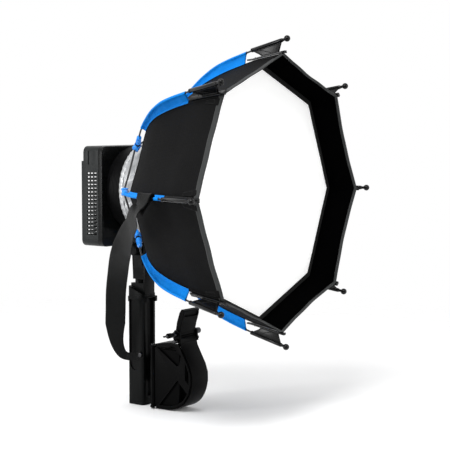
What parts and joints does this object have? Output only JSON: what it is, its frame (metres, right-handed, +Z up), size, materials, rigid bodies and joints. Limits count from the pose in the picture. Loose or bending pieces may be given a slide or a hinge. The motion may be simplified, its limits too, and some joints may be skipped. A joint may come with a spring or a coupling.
{
  "type": "softbox lamp with hand grip",
  "caption": "Octagonal fabric softbox on bowed ribs, on a vented square lamp head that tilts on a hand grip with a webbing strap and a hinged battery cage.",
  "frame": {"origin": "middle of the flat underside of the hand grip", "axes": "+Z up along the grip, -Y the way the light is thrown, +X to the right as seen from in front"},
  "size_m": [0.6732, 0.5088, 0.8386],
  "materials": {
    "shell_fabric": "black woven nylon, matt",
    "rib_rod": "black fibre rod",
    "blue_fabric": "bright blue coated nylon",
    "tip_plastic": "black moulded plastic",
    "blue_plastic": "bright blue moulded plastic with black cord",
    "silver_fabric": "silver-grey coated cloth",
    "white_fabric": "white diffusion cloth",
    "black_plastic": "matt black plastic",
    "head_plastic": "dark grey plastic, fine grain",
    "led": "light source board",
    "aluminium": "raw aluminium",
    "button_steel": "satin",
    "black_metal": "black powder coat",
    "knob_rubber": "ribbed rubber",
    "grip_plastic": "matt black soft-touch plastic",
    "webbing": "black nylon webbing",
    "dark_steel": "blackened steel",
    "cage_plastic": "matt black nylon",
    "battery_plastic": "black battery case"
  },
  "bodies": {
    "grip": {"grip_left": "grip_plastic", "grip_right": "grip_plastic", "grip_foot": "black_metal", "tilt_base": "black_metal", "carry_strap": "webbing", "strap_screw": "dark_steel", "guard_band": "cage_plastic", "cage_frame": "cage_plastic", "door_pin": "dark_steel", "cross_bolt": "dark_steel", "clamp_pin": "dark_steel", "battery_pack": "battery_plastic"},
    "head": {"shell_panel_1": "shell_fabric", "rib_rod_1": "rib_rod", "rib_sleeve_1": "blue_fabric", "rib_tip_1": "tip_plastic", "shell_panel_2": "shell_fabric", "rib_rod_2": "rib_rod", "rib_sleeve_2": "blue_fabric", "rib_tip_2": "tip_plastic", "shell_panel_3": "shell_fabric", "rib_rod_3": "rib_rod", "rib_sleeve_3": "blue_fabric", "rib_tip_3": "tip_plastic", "shell_panel_4": "shell_fabric", "rib_rod_4": "rib_rod", "rib_sleeve_4": "blue_fabric", "rib_tip_4": "tip_plastic", "shell_panel_5": "shell_fabric", "rib_rod_5": "rib_rod", "rib_sleeve_5": "blue_fabric", "rib_tip_5": "tip_plastic", "shell_panel_6": "shell_fabric", "rib_rod_6": "rib_rod", "rib_sleeve_6": "blue_fabric", "rib_tip_6": "tip_plastic", "shell_panel_7": "shell_fabric", "rib_rod_7": "rib_rod", "rib_sleeve_7": "blue_fabric", "rib_tip_7": "tip_plastic", "shell_panel_8": "shell_fabric", "rib_rod_8": "rib_rod", "rib_sleeve_8": "blue_fabric", "rib_tip_8": "tip_plastic", "speed_ring": "blue_plastic", "collar_skirt": "silver_fabric", "front_diffuser": "white_fabric", "head_bezel": "black_plastic", "head_shell": "head_plastic", "led_board": "led", "heat_sink": "aluminium", "mount_collar": "black_plastic", "tilt_arm": "black_metal"},
    "fan": {"fan_rotor": "black_plastic"},
    "dimmer": {"dimmer_knob": "black_plastic"},
    "power": {"power_button": "button_steel"},
    "tilt_clamp": {"tilt_knob": "knob_rubber"},
    "door": {"cage_door": "cage_plastic"},
    "lever": {"clamp_lever": "cage_plastic"},
    "nut": {"wing_nut": "cage_plastic"}
  },
  "joints": [
    {"name": "head_tilt", "type": "hinge", "parent": "grip", "child": "head", "pos_m": [0, 0.002, 0.36], "axis": [-1, 0, 0], "range_deg": [-8, 60], "deforming": ["carry_strap"]},
    {"name": "tilt_knob_turn", "type": "hinge", "parent": "grip", "child": "tilt_clamp", "pos_m": [0, 0.002, 0.36], "axis": [-1, 0, 0], "continuous": true},
    {"name": "fan_spin", "type": "hinge", "parent": "head", "child": "fan", "pos_m": [0, 0.0715, 0.486], "axis": [0, 1, 0], "continuous": true},
    {"name": "dimmer_turn", "type": "hinge", "parent": "head", "child": "dimmer", "pos_m": [-0.03, 0.091, 0.404], "axis": [0, 1, 0], "continuous": true},
    {"name": "power_press", "type": "slide", "parent": "head", "child": "power", "axis": [0, -1, 0], "range_m": [0, 0.0018], "stiffness_N_per_m": 400},
    {"name": "door_swing", "type": "hinge", "parent": "grip", "child": "door", "pos_m": [-0.0335, -0.06, 0.075], "axis": [0, 0, -1], "range_deg": [0, 100]},
    {"name": "lever_fold", "type": "hinge", "parent": "grip", "child": "lever", "pos_m": [0, -0.128, 0.177], "axis": [1, 0, 0], "range_deg": [0, 85]},
    {"name": "wing_nut_turn", "type": "hinge", "parent": "grip", "child": "nut", "pos_m": [-0.058, -0.128, 0.177], "axis": [-1, 0, 0], "continuous": true}
  ]
}
